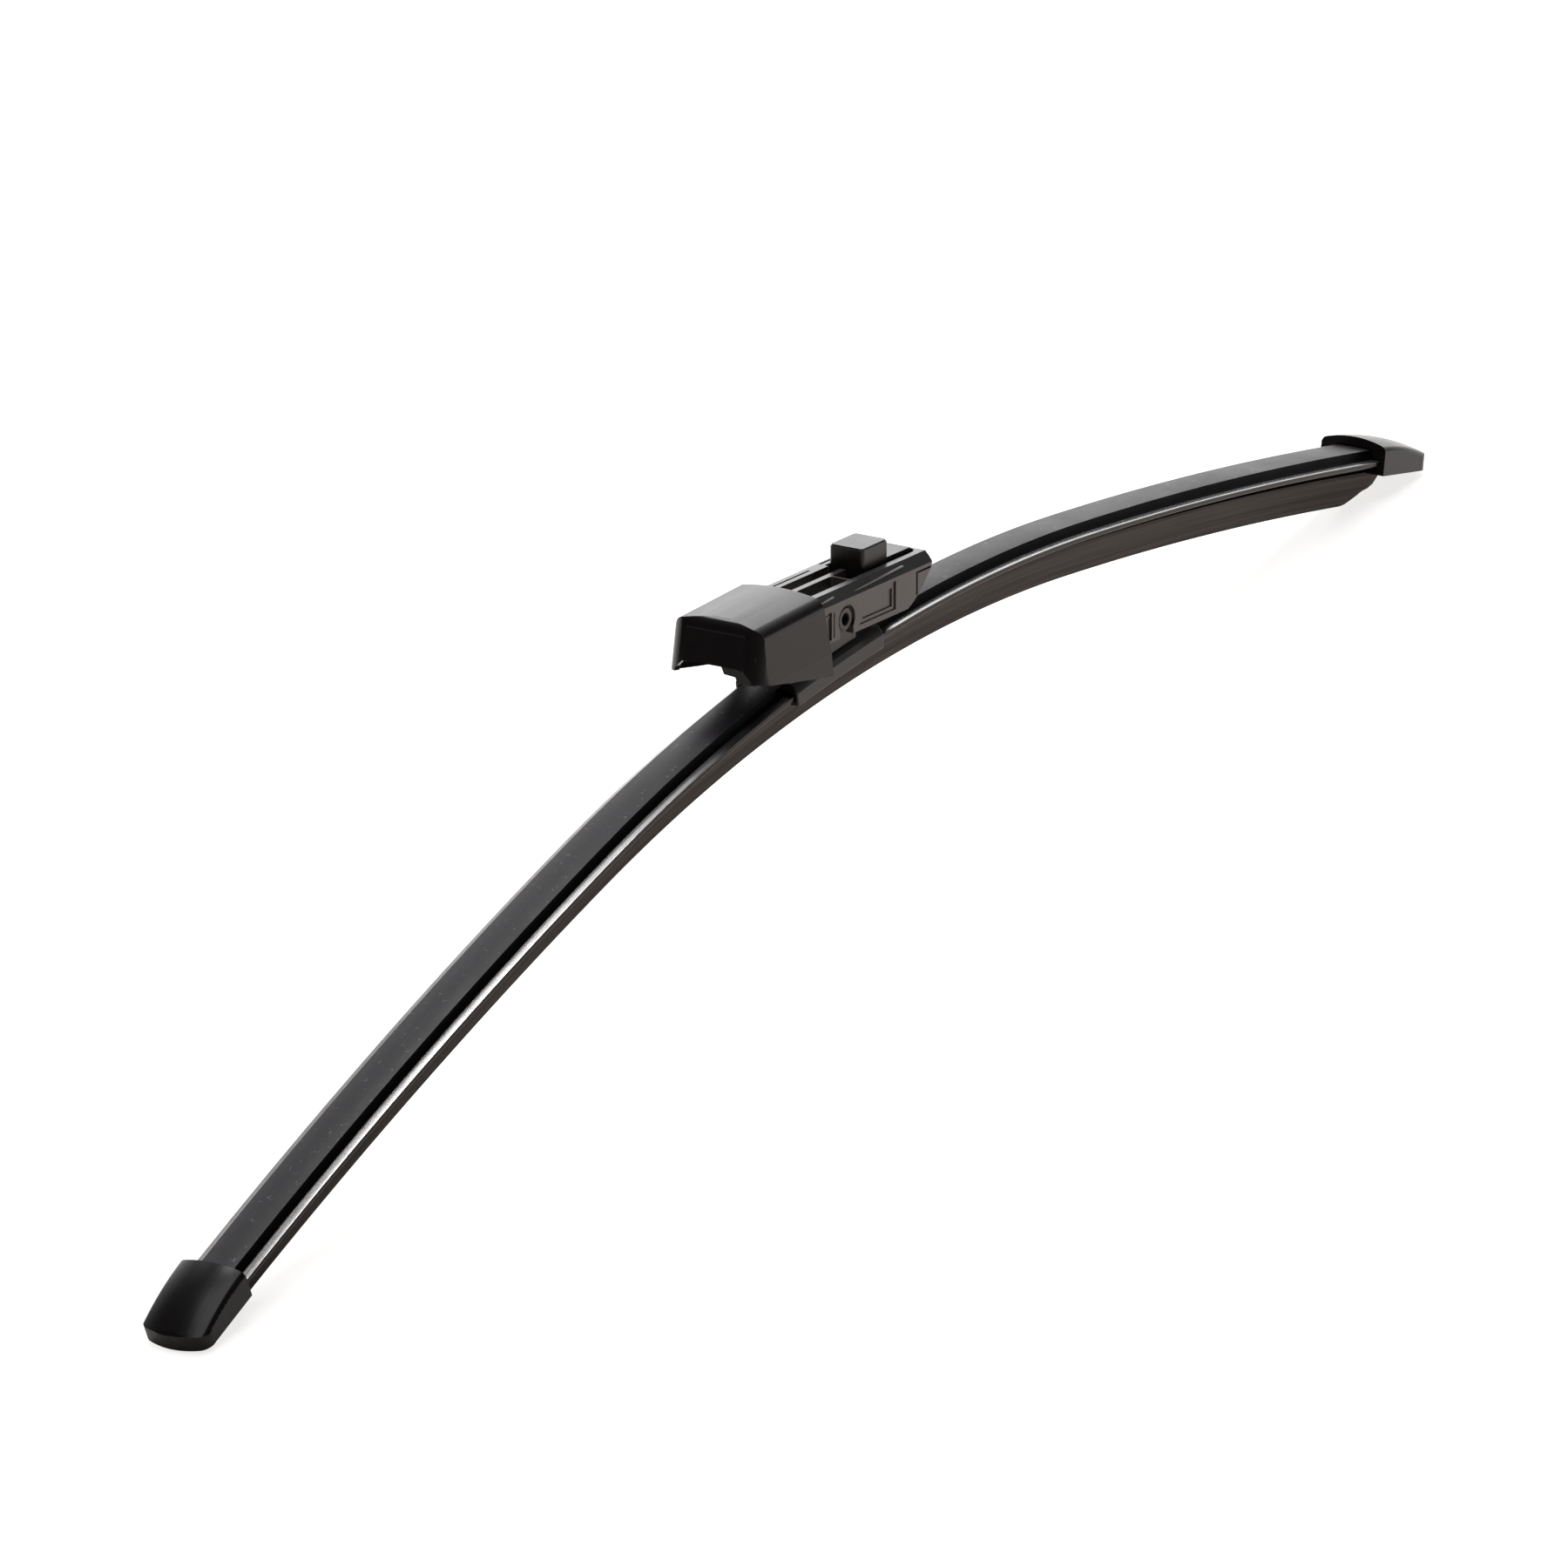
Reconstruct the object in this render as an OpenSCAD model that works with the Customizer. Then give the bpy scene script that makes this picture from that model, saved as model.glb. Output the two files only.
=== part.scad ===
// Flat beam wiper blade, arched and standing on its two end caps.
// Millimetres. X runs along the blade, Z is up, the floor is at Z = 0.
// The blade is swept along three tangent arcs: a tight middle and two flatter arms.
// Blade sections are drawn as [height above the flat top, distance across].

/* [Blade] */
// Radius of the tight middle arc
bow_r = 444.5; // [440:0.5:450]
// Half length of the middle arc
bow_half = 86.4; // [84:0.2:90]
// Radius of the two flatter arms
arm_r = 1248; // [1230:2:1270]
// Length from the middle of the arc to the end on the -X side
near_len = 248.2; // [244:0.2:252]
// Length from the middle of the arc to the end on the +X side
far_len = 212; // [208:0.2:216]

/* [Section] */
// Half width of the flat top
flat_half = 3.9; // [3.7:0.05:4.1]
// Half width of the cover where it meets the rails
cover_half = 4.73; // [4.6:0.01:4.9]
// Half width over the spring rails
rail_half = 6.6; // [6.4:0.05:6.7]
// Depth of the rail top below the flat top
rail_top = 1.9; // [1.85:0.01:1.95]
// Thickness of the spring rails
rail_t = 1; // [0.8:0.05:1.05]
// Depth of the wiping lip below the flat top
lip_depth = 11.7; // [11.5:0.1:11.8]

/* [Connector] */
// Station of the pivot along the blade, from the middle of the arc
pivot_s = -5; // [-6:0.1:-4]
// Height of the pivot above the flat top
pivot_h = 7.07; // [7:0.01:7.3]
// Angle the adapter is rocked nose down from the blade
rock = 8; // [4:0.5:8.5]
// Half width of the adapter
adapter_half = 8; // [7.9:0.05:8.1]
// Height of the release button above the pivot
button_top = 10.6; // [10:0.1:11.5]

/* [End caps] */
// Length of each end cap
cap_len = 18.2; // [17.5:0.1:19]
// Depth of the cap bottom below the flat top
cap_drop = 4.9; // [4.9:0.05:5.2]
// Half width of a cap
cap_half = 7.6; // [7.5:0.05:7.7]
// Height of a cap's crown above the flat top at its inner end
cap_top = 2; // [1.8:0.05:2.2]

/* [Hidden] */
$fn = 64;
bite = 0.1;
nip = 0.03;
rad = 180 / PI;

bow_a = bow_half / bow_r * rad;
arm_shift = arm_r - bow_r;
far_a = bow_a + (far_len - bow_half) / arm_r * rad;
near_a = bow_a + (near_len - bow_half) / arm_r * rad;
function arm_x(a) = arm_r * sin(a) - arm_shift * sin(bow_a);
function arm_z(a) = arm_r * cos(a) - arm_shift * cos(bow_a) - bow_r;

// The two cap corners that touch the floor, and the turn that levels them.
far_foot = [arm_x(far_a) - cap_drop * sin(far_a), arm_z(far_a) - cap_drop * cos(far_a)];
near_foot = [cap_drop * sin(near_a) - arm_x(near_a), arm_z(near_a) - cap_drop * cos(near_a)];
tilt = atan2(far_foot[1] - near_foot[1], far_foot[0] - near_foot[0]);
function turned_x(p) = p[0] * cos(tilt) + p[1] * sin(tilt);
function turned_z(p) = p[1] * cos(tilt) - p[0] * sin(tilt);
floor_z = turned_z(far_foot);

// The furthest point of each cap is its outer face just under the rounded top.
cap_brow = 2;
far_brow = [arm_x(far_a) - cap_brow * sin(far_a), arm_z(far_a) - cap_brow * cos(far_a)];
near_brow = [cap_brow * sin(near_a) - arm_x(near_a), arm_z(near_a) - cap_brow * cos(near_a)];
mid_x = (turned_x(far_brow) + turned_x(near_brow)) / 2;

// Rubber section
web_half = 1;
head_half = 2.5;
head_top = 0.8;
head_bottom = 1.5;
body_half = 3.2;
body_bottom = 4.2;
neck_half = 0.7;
shoulder_half = 2.35;
shoulder_top = 4.9;
shoulder_bottom = 5.6;
taper_bottom = 8.6;
taper_half = 0.95;
lip_half = 0.45;
slip = 0.05;

// Ends
squeegee_inset = 11.3;
cover_inset = 10.5;
rail_inset = 4;
lip_cut_x = 21.8;
lip_cut_z = 8;
lip_cut_r = 60;

// Base bracket
bracket_x0 = -18.1;
bracket_x1 = 13.2;
bracket_half = 7.3;
bracket_bottom = 4.2;
bracket_top = 0.5;
ear_in = 4.2;
ear_out = 5.8;
ear_r = 3.8;
pin_r = 2.56;
pin_hole_r = 1.26;
pin_half = 7.7;

// Adapter
deck_z = 6.25;
deck_under = 4.1;
deck_half = 6.35;
side_top = 4.2;
side_bottom = -3.4;
wall_in = 6.2;
nose_x = 31;
tail_x = -19;
recess_x = -10.2;
recess = 0.4;
bearing_r = 2.61;
ring_gap_r = 2.97;
key_slot_half = 2.4;

// Release button and its tongue
button_x0 = 11.8;
button_x1 = 21.2;
button_half = 3.97;
button_bottom = 2;
tongue_top = 6.9;
tongue_half = 3.9;
barrel_x = 29.1;
barrel_z = 5.55;
barrel_r = 1.1;

// Shroud
shroud_foot = [-36.5, -4.2];
shroud_crest = [-11.6, 8.35];
shroud_lean = 10;
shroud_rise = 2.7;
shroud_wall = 1.5;
shroud_half = 11.35;
brow_r = 2.6;
flank_foot = [11.4, -4.2];
flank_lean = 6;
crown_r = 44;
eave_r = 2.8;
front_bow = 45;
front_corner = 4.5;
front_set = 0.5;

// How far the shapes that are cut to the shroud's outline reach
shroud_span = 1.7 * (shroud_crest[0] - shroud_foot[0]);
shroud_tall = 2.8 * (shroud_crest[1] - shroud_foot[1]);
shroud_wide = 1.3 * flank_foot[0];

// End caps
cap_arc_r = 55;
cap_crown_r = 24;
cap_eave_r = 1.6;
cap_brow_r = 1.6;
cap_bow = 16;
cap_corner = 3;

// Frames

module standing() {
    translate([-mid_x, 0, -floor_z]) rotate([0, tilt, 0]) children();
}

module at_station(s) {
    a = s / bow_r * rad;
    translate([bow_r * sin(a), 0, bow_r * cos(a) - bow_r]) rotate([0, a, 0]) children();
}

module at_pivot() {
    at_station(pivot_s) translate([0, 0, pivot_h]) children();
}

module at_adapter() {
    at_pivot() rotate([0, rock, 0]) children();
}

// In both end frames X points inwards from the end of the blade.
module at_far_end() {
    translate([arm_x(far_a), 0, arm_z(far_a)]) rotate([0, far_a, 0]) rotate([0, 0, 180]) children();
}

module at_near_end() {
    translate([-arm_x(near_a), 0, arm_z(near_a)]) rotate([0, -near_a, 0]) children();
}

// Sweeps of a section between two stations

module sweep_bow(s0, s1) {
    translate([0, 0, -bow_r]) rotate([90, 0, 0])
        rotate_extrude(angle = (s1 - s0) / bow_r * rad, start = 90 - s1 / bow_r * rad)
            translate([bow_r, 0]) children();
}

module sweep_arm(s0, s1) {
    translate([-arm_shift * sin(bow_a), 0, -bow_r - arm_shift * cos(bow_a)]) rotate([90, 0, 0])
        rotate_extrude(angle = (s1 - s0) / arm_r * rad, start = 90 - bow_a - (s1 - bow_half) / arm_r * rad)
            translate([arm_r, 0]) children();
}

module sweep_far(s1) {
    sweep_arm(bow_half - bite, s1) children();
}

module sweep_near(s1) {
    mirror([1, 0, 0]) sweep_arm(bow_half - bite, s1) children();
}

// Sections

module rubber_section() {
    // head, web between the rails, body, neck, shoulder and tapering lip
    half = [
        [-head_top, head_half],
        [-head_bottom, head_half],
        [-head_bottom, web_half],
        [-rail_top - rail_t - slip, web_half],
        [-rail_top - rail_t - slip, body_half],
        [-body_bottom, body_half - 0.15],
        [-body_bottom, neck_half],
        [-shoulder_top, neck_half],
        [-shoulder_top, shoulder_half],
        [-shoulder_bottom, shoulder_half],
        [-taper_bottom, taper_half],
        [-lip_depth, lip_half]
    ];
    other = [for (i = [len(half) - 1 : -1 : 0]) [half[i][0], -half[i][1]]];
    polygon(concat(half, other));
}

module rail_section() {
    translate([-rail_top - rail_t, web_half + slip])
        square([rail_t, rail_half - web_half - slip]);
}

module cover_section() {
    // flat top, hollow flanks, and a channel underneath for the head of the rubber
    gap = 2 * slip;
    half = [
        [0, flat_half],
        [-0.75, flat_half + 0.1],
        [-1.4, flat_half + 0.36],
        [-rail_top, cover_half],
        [-rail_top, web_half + gap],
        [-head_bottom - slip, web_half + gap],
        [-head_bottom - slip, head_half + gap],
        [-head_top + slip, head_half + gap]
    ];
    other = [for (i = [len(half) - 1 : -1 : 0]) [half[i][0], -half[i][1]]];
    polygon(concat(half, other));
}

module bracket_section() {
    difference() {
        polygon([
            [-bracket_bottom, -bracket_half], [-1.4, -bracket_half], [-0.3, -bracket_half + 0.45],
            [bracket_top, -bracket_half + 1.3], [bracket_top, bracket_half - 1.3],
            [-0.3, bracket_half - 0.45], [-1.4, bracket_half], [-bracket_bottom, bracket_half]
        ]);
        // room for the rubber, the rails and the claws below them
        translate([-bracket_bottom - 1, -5.2]) square([bracket_bottom + 1 - rail_top - rail_t, 10.4]);
        translate([-rail_top - rail_t - 0.1, -rail_half - slip])
            square([rail_t + 0.1 + slip, 2 * rail_half + 2 * slip]);
        translate([-rail_top - 0.5, -head_half - 0.1])
            square([rail_top + 0.5 - head_top + slip, 2 * head_half + 0.2]);
    }
}

module bowed_plan(bow, corner, half, reach) {
    // seen from above: the bowed front touches X = 0 and meets the corner arcs smoothly
    cy = half - corner;
    cx = bow - sqrt(pow(bow - corner, 2) - cy * cy);
    front = [cx, cy] + (corner - nip) / (bow - corner) * [cx - bow, cy];
    intersection() {
        union() {
            polygon([
                [reach, -half], [reach, half], [cx, half - nip], [cx, cy], front, [-2, 0],
                [front[0], -front[1]], [cx, -cy], [cx, nip - half]
            ]);
            for (y = [-cy, cy]) translate([cx, y]) circle(r = corner + nip / 2);
        }
        translate([bow, 0]) circle(r = bow, $fn = 180);
    }
}

// Rubber squeegee

module lip_cut() {
    // leaves the squared end of the rubber body and a curved slope down to the lip
    dx = lip_cut_x - squeegee_inset;
    dz = lip_depth - lip_cut_z;
    chord = sqrt(dx * dx + dz * dz);
    rise = sqrt(lip_cut_r * lip_cut_r - chord * chord / 4);
    difference() {
        translate([squeegee_inset - 2, -5, -lip_depth - 1]) cube([dx + 1.9, 10, dz + 1]);
        translate([squeegee_inset + dx / 2 + rise * dz / chord, 0, -lip_cut_z - dz / 2 + rise * dx / chord])
            rotate([90, 0, 0]) cylinder(r = lip_cut_r, h = 12, center = true, $fn = 180);
    }
}

module squeegee() {
    color([0.1, 0.09, 0.09]) standing() {
        sweep_bow(-bow_half, bow_half) rubber_section();
        difference() {
            sweep_far(far_len - squeegee_inset) rubber_section();
            at_far_end() lip_cut();
        }
        difference() {
            sweep_near(near_len - squeegee_inset) rubber_section();
            at_near_end() lip_cut();
        }
    }
}

// Spring rails

module rail() {
    sweep_bow(-bow_half, bow_half) rail_section();
    sweep_far(far_len - rail_inset) rail_section();
    sweep_near(near_len - rail_inset) rail_section();
}

module rail_right() {
    color([0.55, 0.55, 0.57]) standing() rail();
}

module rail_left() {
    color([0.55, 0.55, 0.57]) standing() mirror([0, 1, 0]) rail();
}

// Flat-topped covers

module cover_far() {
    color([0.13, 0.13, 0.14]) standing() {
        sweep_bow(pivot_s + bracket_x1 + 0.15, bow_half) cover_section();
        sweep_far(far_len - cover_inset) cover_section();
    }
}

module cover_near() {
    color([0.13, 0.13, 0.14]) standing() {
        sweep_bow(-bow_half, pivot_s + bracket_x0 - 0.15) cover_section();
        sweep_near(near_len - cover_inset) cover_section();
    }
}

// Base bracket and its rivet

module ear() {
    difference() {
        union() {
            translate([0, ear_in, 0]) rotate([-90, 0, 0]) cylinder(r = ear_r, h = ear_out - ear_in);
            translate([-ear_r - 2.2, ear_in, -pivot_h]) cube([2 * ear_r + 4.4, ear_out - ear_in, 3.4]);
            translate([-ear_r, ear_in, -pivot_h]) cube([2 * ear_r, ear_out - ear_in, pivot_h]);
        }
        rotate([-90, 0, 0]) cylinder(r = pin_r + 0.02, h = ear_out + 1);
    }
}

module base_bracket() {
    color([0.11, 0.1, 0.1]) standing() {
        sweep_bow(pivot_s + bracket_x0, pivot_s + bracket_x1) bracket_section();
        at_pivot() {
            ear();
            mirror([0, 1, 0]) ear();
        }
    }
}

module pivot_pin() {
    color([0.45, 0.43, 0.42]) standing() at_pivot() rotate([90, 0, 0]) difference() {
        union() {
            cylinder(r = pin_r, h = 2 * pin_half - 0.5, center = true);
            cylinder(r = pin_r - 0.25, h = 2 * pin_half, center = true);
        }
        cylinder(r = pin_hole_r, h = 2 * pin_half + 1, center = true);
    }
}

// Adapter, drawn from the pivot with its nose towards +X

module adapter_side_shape() {
    polygon([
        [tail_x, side_bottom + 1], [tail_x + 2, side_bottom], [22, side_bottom], [23.6, -2.7],
        [25.4, -1.6], [26.7, -0.7], [30.4, 3], [30.9, 4.2], [nose_x, 5.2], [nose_x - 0.2, deck_z],
        [-12.6, deck_z], [-12.9, deck_z - 0.7], [tail_x, deck_z - 0.7]
    ]);
}

module adapter_cross_shape() {
    c = adapter_half;
    polygon([
        [-c, side_bottom - 1], [-c, side_top], [-deck_half, deck_z], [deck_half, deck_z],
        [c, side_top], [c, side_bottom - 1]
    ]);
}

module deck_window(x0, x1, y0, y1, r) {
    // rectangular window with rounded corners
    translate([0, 0, deck_under - 2]) linear_extrude(height = 6) {
        translate([x0 + r, y0]) square([x1 - x0 - 2 * r, y1 - y0]);
        translate([x0, y0 + r]) square([x1 - x0, y1 - y0 - 2 * r]);
        for (x = [x0 + r, x1 - r]) for (y = [y0 + r, y1 - r]) translate([x, y]) circle(r = r);
    }
}

module keyhole() {
    rotate([90, 0, 0]) cylinder(r = bearing_r, h = 2 * adapter_half + 1, center = true);
    for (side = [-1, 1])
        translate([0, side * (adapter_half + 0.1), 0]) rotate([90, 0, 0])
            cylinder(r = ring_gap_r, h = 1.4, center = true);
    translate([-key_slot_half, -adapter_half - 1, side_bottom - 1])
        cube([2 * key_slot_half, 2 * adapter_half + 2, -side_bottom + 1]);
}

module side_details() {
    // cut in both cheeks: stepped panel, L-shaped slit and the shallow bay beside the shroud
    for (side = [-1, 1]) translate([0, side * adapter_half, 0]) {
        translate([4.7, -0.3, -2.3]) cube([13, 0.6, 5.8]);
        translate([6, -0.6, -1.5]) cube([10.7, 1.2, 3.7]);
        translate([25.05, -0.7, -1.5]) cube([0.55, 1.4, 4.95]);
        translate([25.05, -0.7, 3.05]) cube([5.35, 1.4, 0.4]);
        translate([recess_x - 0.1, -recess, -2.9]) cube([-5.3 - recess_x, 2 * recess, 5.7]);
        translate([-4.7, -0.2, -2.6]) cube([0.4, 0.4, 5.1]);
        // the cheeks are set back where they run under the shroud
        translate([tail_x - 1, -recess, side_bottom - 1])
            cube([recess_x - tail_x + 1, 2 * recess, deck_z - side_bottom + 2]);
    }
}

module adapter() {
    color([0.12, 0.11, 0.11]) standing() at_adapter() {
        difference() {
            intersection() {
                translate([0, adapter_half + 1, 0]) rotate([90, 0, 0])
                    linear_extrude(height = 2 * adapter_half + 2) adapter_side_shape();
                translate([tail_x - 1, 0, 0]) rotate([90, 0, 90])
                    linear_extrude(height = nose_x - tail_x + 2) adapter_cross_shape();
            }
            // hollow between the cheeks, closed by the nose wall
            translate([tail_x - 1, -wall_in, side_bottom - 1])
                cube([26 - tail_x, 2 * wall_in, deck_under - side_bottom + 1]);
            translate([20, -wall_in, 0]) cube([7.4, 2 * wall_in, deck_under]);
            // windows in the deck
            deck_window(tail_x + 2, 11, 0.65, 3.6, 0.3);
            deck_window(tail_x + 2, 5.4, -4.9, -0.65, 0.6);
            deck_window(6, barrel_x, -4.9, -0.65, 0.5);
            deck_window(11, barrel_x, -4.6, 4.5, 0.5);
            deck_window(11.1, nose_x - 1.3, 5.4, 5.95, 0.25);
            deck_window(tail_x + 2, 6.5, 4.75, 5.25, 0.2);
            deck_window(20, nose_x - 1.3, -4.6, -3.95, 0.3);
            // seat for the tongue's barrel
            translate([barrel_x, 0, barrel_z]) rotate([90, 0, 0])
                cylinder(r = barrel_r + 0.06, h = 2 * tongue_half + 0.4, center = true);
            translate([barrel_x - 1, -tongue_half - 0.2, barrel_z])
                cube([2.1, 2 * tongue_half + 0.4, 3]);
            keyhole();
            side_details();
        }
        for (side = [-1, 1]) {
            // short raised line in the shallow bay
            translate([-7.7, side * (adapter_half - recess), 2]) cube([3.8, 0.3, 0.3], center = true);
            // fine raised lines on the sloping shoulder
            translate([12.4, side * 7.25, 5.15]) rotate([0, -2.3, 0]) cube([17.6, 0.5, 0.25], center = true);
            translate([-6, side * 7.25, 5.2]) rotate([0, -4, 0]) cube([4.4, 0.5, 0.25], center = true);
        }
    }
}

// Release button with its tongue

module release_button() {
    color([0.12, 0.11, 0.11]) standing() at_adapter() {
        r = 0.9;
        w = button_half - r;
        l = button_x1 - button_x0;
        // block with rounded upright corners and an eased top edge
        translate([0, 0, button_bottom]) linear_extrude(height = button_top - 0.3 - button_bottom) {
            translate([button_x0, -w]) square([l, 2 * w]);
            translate([button_x0 + r, -button_half]) square([l - 2 * r, 2 * button_half]);
            for (x = [button_x0 + r, button_x1 - r]) for (y = [-w, w]) translate([x, y]) circle(r = r);
        }
        translate([0, 0, button_top - 0.31]) linear_extrude(height = 0.31) {
            e = 0.3;
            translate([button_x0 + e, -w]) square([l - 2 * e, 2 * w]);
            translate([button_x0 + r, -button_half + e]) square([l - 2 * r, 2 * button_half - 2 * e]);
            for (x = [button_x0 + r, button_x1 - r]) for (y = [-w, w]) translate([x, y]) circle(r = r - e);
        }
        // tongue running back to the hinge barrel in the nose
        translate([button_x1 - 1, -tongue_half, 5.2]) cube([barrel_x - button_x1 + 1, 2 * tongue_half, tongue_top - 5.2]);
        translate([barrel_x, 0, barrel_z]) rotate([90, 0, 0])
            cylinder(r = barrel_r, h = 2 * tongue_half, center = true);
    }
}

// Shroud over the back of the adapter

lean_n = [cos(shroud_lean), -sin(shroud_lean)];
rise_n = [sin(shroud_rise), -cos(shroud_rise)];
brow_a = shroud_foot * lean_n + brow_r;
brow_b = shroud_crest * rise_n + brow_r;
brow_c = [(brow_a * cos(shroud_rise) - brow_b * sin(shroud_lean)) / cos(shroud_lean + shroud_rise),
    (brow_a * sin(shroud_rise) - brow_b * cos(shroud_lean)) / cos(shroud_lean + shroud_rise)];

flank_n = [cos(flank_lean), sin(flank_lean)];
flank_d = [-sin(flank_lean), cos(flank_lean)];
crown_c = [0, shroud_crest[1] - crown_r];
eave_w = flank_foot - eave_r * flank_n - crown_c;
eave_u = -(eave_w * flank_d) + sqrt(pow(eave_w * flank_d, 2) - eave_w * eave_w + pow(crown_r - eave_r, 2));
eave_c = flank_foot - eave_r * flank_n + eave_u * flank_d;

eave_w_dir = (eave_c - crown_c) / norm(eave_c - crown_c);

module shroud_profile(t, back, low) {
    // seen from the side: leaning front, rounded brow, rising roof, sloping bottom edge
    r = brow_r - t;
    polygon([
        shroud_foot + t * lean_n + [0, 0.1] - low * [0.176, 1],
        brow_c - (r - nip) * lean_n, brow_c, brow_c - (r - nip) * rise_n,
        shroud_crest + t * rise_n + [back - 0.6, 0.04], [-9.9 + back, -8.6 - low], [-26, -5.95 - low]
    ]);
    translate(brow_c) circle(r = r);
}

module shroud_cross(t) {
    // seen from the end: leaning flanks, rounded eaves and a crowned roof
    r = eave_r - t;
    foot = flank_foot - t * flank_n - 12 * flank_d;
    side = eave_c + (r - nip) * flank_n;
    brow = eave_c + (r - nip) * eave_w_dir;
    intersection() {
        union() {
            polygon([
                [-foot[0], foot[1]], foot, side, eave_c, brow, [0, 12],
                [-brow[0], brow[1]], [-eave_c[0], eave_c[1]], [-side[0], side[1]]
            ]);
            for (x = [-eave_c[0], eave_c[0]]) translate([x, eave_c[1]]) circle(r = r + nip / 2);
        }
        translate(crown_c) circle(r = crown_r - t, $fn = 180);
    }
}

module shroud_form(t, back, low) {
    intersection() {
        translate([0, shroud_wide, 0]) rotate([90, 0, 0])
            linear_extrude(height = 2 * shroud_wide) shroud_profile(t, back, low);
        translate([shroud_crest[0], 0, 0]) rotate([0, -shroud_rise, 0])
            translate([-0.8 * shroud_span, 0, 0]) rotate([90, 0, 90])
                linear_extrude(height = shroud_span) shroud_cross(t);
        translate([shroud_foot[0], 0, shroud_foot[1]]) rotate([0, shroud_lean, 0])
            translate([t - front_set, 0, -0.4 * shroud_tall]) linear_extrude(height = shroud_tall)
                bowed_plan(front_bow - t, front_corner - t, shroud_half - t, shroud_span);
    }
}

module shroud() {
    color([0.1, 0.1, 0.1]) standing() at_adapter() {
        difference() {
            shroud_form(0, 0, 0);
            shroud_form(shroud_wall, 6, 6);
            // arch in the front wall for the blade to pass under
            translate([shroud_foot[0] - 3, 0, 0]) rotate([90, 0, 90]) linear_extrude(height = 9.5) {
                polygon([[-9.1, -12], [-8.9, -3.6], [-7.1, -1.8], [7.1, -1.8], [8.9, -3.6], [9.1, -12]]);
                translate([0, -1.8]) square([12.4, 0.4], center = true);
            }
        }
        // guide web behind the arch on the -Y side
        translate([-34.9, 0, 0]) rotate([90, 0, 90]) linear_extrude(height = 1.2)
            polygon([[-9.4, -4.8], [-5.2, -4.8], [-4.6, -3.6], [-2, -3.4], [-0.9, -1], [-0.9, 1], [-9.4, 1]]);
        // lugs that grip the adapter's cheeks
        for (side = [0, 1]) mirror([0, side, 0])
            translate([-17, adapter_half - recess + 0.03, -1]) cube([3, 1.7 + recess, 4]);
    }
}

// End caps, drawn with X pointing inwards from the end of the blade

module cap_section() {
    // seen from the end and swept along the long arc of the top: crown and rounded eaves
    ey = cap_half + nip - cap_eave_r;
    ex = sqrt(pow(cap_crown_r - cap_eave_r, 2) - ey * ey);
    c = cap_arc_r - cap_crown_r;
    brow = [c + ex, ey] + (cap_eave_r - nip) / (cap_crown_r - cap_eave_r) * [ex, ey];
    low = cap_arc_r - 1.8 * cap_drop;
    wide = cap_half + 1.5;
    intersection() {
        union() {
            polygon([
                [low, -wide], [c + ex, -wide], [c + ex, -ey], [brow[0], -brow[1]], [cap_arc_r + 3, 0],
                brow, [c + ex, ey], [c + ex, wide], [low, wide]
            ]);
            for (y = [-ey, ey]) translate([c + ex, y]) circle(r = cap_eave_r + nip / 2);
        }
        translate([c, 0]) circle(r = cap_crown_r, $fn = 180);
    }
}

module cap_side() {
    // seen from the side: rounded brow where the top meets the outer end
    arc_c = [cap_len, cap_top - cap_arc_r];
    c = [cap_brow_r, arc_c[1] + sqrt(pow(cap_arc_r - cap_brow_r, 2) - pow(cap_len - cap_brow_r, 2))];
    touch = c + (cap_brow_r - nip) / (cap_arc_r - cap_brow_r) * (c - arc_c);
    polygon([
        [cap_len + 2, -cap_drop - 2], [cap_len + 2, cap_top + 2], [touch[0], cap_top + 2], touch, c,
        [-2, c[1]], [-2, -cap_drop - 2]
    ]);
    translate(c) circle(r = cap_brow_r + nip / 2);
}

module cap_outside() {
    intersection() {
        translate([0, 0, -cap_drop]) linear_extrude(height = cap_drop + cap_top + 1)
            bowed_plan(cap_bow, cap_corner, cap_half, cap_len);
        translate([0, cap_half + 2, 0]) rotate([90, 0, 0]) linear_extrude(height = 2 * cap_half + 4) cap_side();
        translate([cap_len, 0, cap_top - cap_arc_r]) rotate([90, 0, 0])
            rotate_extrude(angle = 24, start = 88) cap_section();
    }
}

module end_cap() {
    difference() {
        cap_outside();
        // pocket for the rails, the cover and the rubber
        translate([rail_inset - 0.2, -rail_half - 0.12, -rail_top - rail_t - 0.15])
            cube([cap_len, 2 * rail_half + 0.24, rail_t + 0.3]);
        translate([cover_inset - 0.2, -cover_half - 0.1, -rail_top - 0.5])
            cube([cap_len, 2 * cover_half + 0.2, 0.9]);
        translate([cover_inset - 0.2, -flat_half - 0.25, -rail_top])
            cube([cap_len, 2 * flat_half + 0.5, rail_top + 0.15]);
        translate([squeegee_inset - 0.3, -body_half - 0.15, -cap_drop - 1])
            cube([cap_len, 2 * body_half + 0.3, cap_drop]);
    }
}

module end_cap_far() {
    color([0.09, 0.09, 0.09]) standing() at_far_end() end_cap();
}

module end_cap_near() {
    color([0.09, 0.09, 0.09]) standing() at_near_end() end_cap();
}

squeegee();
rail_left();
rail_right();
cover_near();
cover_far();
base_bracket();
pivot_pin();
adapter();
release_button();
shroud();
end_cap_near();
end_cap_far();
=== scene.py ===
import math

import bmesh
import bpy
from mathutils import Matrix, Vector


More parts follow.
